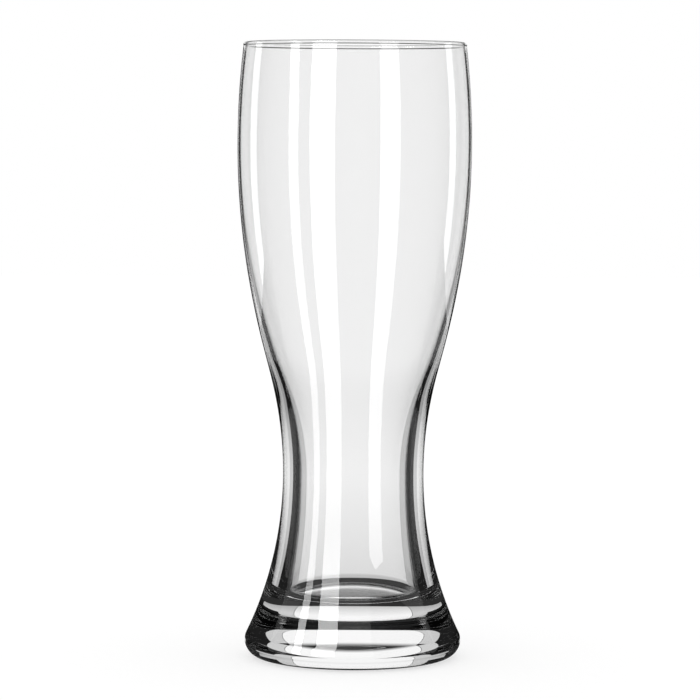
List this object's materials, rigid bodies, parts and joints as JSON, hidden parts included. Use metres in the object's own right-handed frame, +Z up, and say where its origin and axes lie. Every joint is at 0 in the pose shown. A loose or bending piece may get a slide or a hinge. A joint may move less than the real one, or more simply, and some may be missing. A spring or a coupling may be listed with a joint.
{
  "type": "pilsner glass",
  "caption": "Tall clear footed beer glass with a bulge below its beaded rim, a narrow thick-walled waist and a heavy solid flared foot.",
  "frame": {"origin": "on the glass's axis, in the plane of its standing ring", "axes": "+Z up along the axis, through the open mouth; X and Y are alike, since the glass is round"},
  "size_m": [0.0874, 0.0874, 0.23],
  "materials": {
    "glass": "clear, fire-polished"
  },
  "bodies": {
    "root": {"bowl": "glass", "foot": "glass"}
  },
  "joints": []
}
